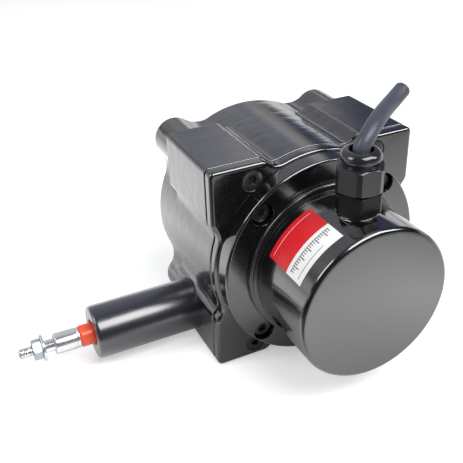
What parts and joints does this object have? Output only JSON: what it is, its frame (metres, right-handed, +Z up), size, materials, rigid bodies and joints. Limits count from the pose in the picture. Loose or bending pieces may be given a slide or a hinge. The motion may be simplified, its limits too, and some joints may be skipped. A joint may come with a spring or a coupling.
{
  "type": "draw wire encoder",
  "caption": "Draw wire encoder: square black housing with wire drum and spring, round encoder cap with cable gland, side wire outlet with threaded wire end.",
  "frame": {"origin": "centre of the four tapped base holes, in the plane of the housing's underside, below the drum shaft", "axes": "+Z up from the base, +Y from the encoder cap to the rear spring cover along the drum shaft, wire leaves towards -X"},
  "size_m": [0.1512, 0.0989, 0.1042],
  "materials": {
    "black_paint": "die-cast and turned aluminium with satin black paint, smooth, even gloss",
    "base_metal": "dark anodised aluminium",
    "gland_plastic": "black polyamide, glossy",
    "cable_sheath": "dark blue grey PVC sheath",
    "seal_rubber": "black rubber",
    "bumper_rubber": "orange red rubber",
    "zinc_steel": "bright zinc plated steel",
    "dark_steel": "black oxide steel",
    "bearing_steel": "ground bearing steel",
    "drum_metal": "turned aluminium",
    "spring_steel": "blued spring strip",
    "wire_steel": "stranded stainless wire",
    "brass": "turned brass",
    "felt": "pressed wool felt",
    "disc_glass": "glass code disc",
    "board_green": "coated circuit board",
    "sensor_plastic": "black moulded sensor body"
  },
  "bodies": {
    "housing": {"housing_body": "black_paint", "front_plate": "black_paint", "plate_screws": "dark_steel", "rear_cover": "black_paint", "cover_screws": "dark_steel", "cover_seal": "seal_rubber", "encoder_flange": "black_paint", "flange_screws": "dark_steel", "encoder_base": "base_metal", "cap_seal": "seal_rubber", "encoder_cap": "black_paint", "outlet_tube": "black_paint", "tube_seal": "seal_rubber", "guide_bush": "brass", "wire_wiper": "felt", "measuring_wire": "wire_steel", "front_bearing": "bearing_steel", "rear_bearing": "bearing_steel", "power_spring": "spring_steel", "spring_pin": "bearing_steel", "encoder_bearings": "bearing_steel", "board_posts": "brass", "sensor_board": "board_green", "sensor_head": "sensor_plastic", "gland_body": "gland_plastic", "gland_ring": "seal_rubber", "gland_seal": "seal_rubber", "gland_nut": "gland_plastic", "signal_cable": "cable_sheath"},
    "rotor": {"wire_drum": "drum_metal", "wound_wire": "wire_steel", "drum_shaft": "bearing_steel", "shaft_clamp": "drum_metal", "clamp_screw": "dark_steel", "inner_races": "bearing_steel", "spring_arbor": "drum_metal", "encoder_shaft": "bearing_steel", "code_disc": "disc_glass", "disc_hub": "drum_metal"},
    "wire_end": {"wire_bumper": "bumper_rubber", "wire_ferrule": "zinc_steel", "terminal_stud": "zinc_steel", "terminal_washer": "zinc_steel", "terminal_nut": "zinc_steel"}
  },
  "joints": [
    {"name": "wire_pull", "type": "slide", "parent": "housing", "child": "wire_end", "axis": [-1, 0, 0], "range_m": [0, 2], "stiffness_N_per_m": 1.2, "springref_m": -6, "deforming": ["measuring_wire"]},
    {"name": "drum_spin", "type": "hinge", "parent": "housing", "child": "rotor", "pos_m": [0, -0.0222, 0.041], "axis": [0, 1, 0], "range_deg": [0, 4040]}
  ],
  "couplings": [
    {"joint": "drum_spin", "follows": "wire_pull", "rad_per_m": 35.211}
  ]
}
